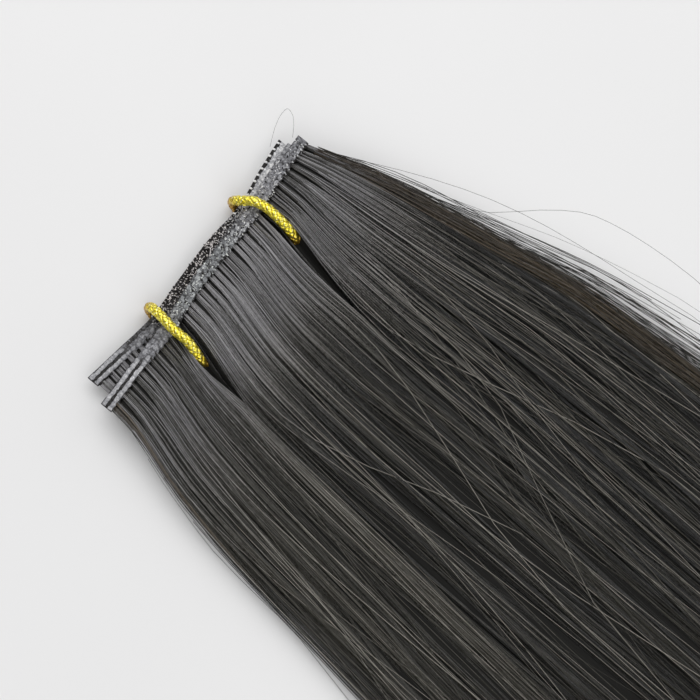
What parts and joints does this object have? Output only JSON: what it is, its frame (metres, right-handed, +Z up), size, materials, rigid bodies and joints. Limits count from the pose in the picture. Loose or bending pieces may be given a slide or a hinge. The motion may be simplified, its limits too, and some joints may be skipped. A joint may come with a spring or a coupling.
{
  "type": "hair weft",
  "caption": "Bundle of straight dark hair weft lying flat: stitched bands stacked in steps, tied together by gold braided cords, with long hair that fans out to its tips.",
  "frame": {"origin": "centre of the bounding box in plan, on the surface that the bundle lies on", "axes": "+Y along the hair from its tips to the stitched bands, +X along the bands, +Z up"},
  "size_m": [0.1116, 0.3702, 0.0106],
  "materials": {
    "hair": "straight hair fibre, satin sheen along the strands",
    "band": "stitched thread seam with a thin grey coating",
    "gold_cord": "braided metallic thread"
  },
  "bodies": {
    "root": {"bottom_weft_band": "band", "bottom_weft_hair": "hair", "middle_weft_band": "band", "middle_weft_hair": "hair", "top_weft_band": "band", "top_weft_hair": "hair", "left_gold_tie": "gold_cord", "right_gold_tie": "gold_cord"}
  },
  "joints": []
}
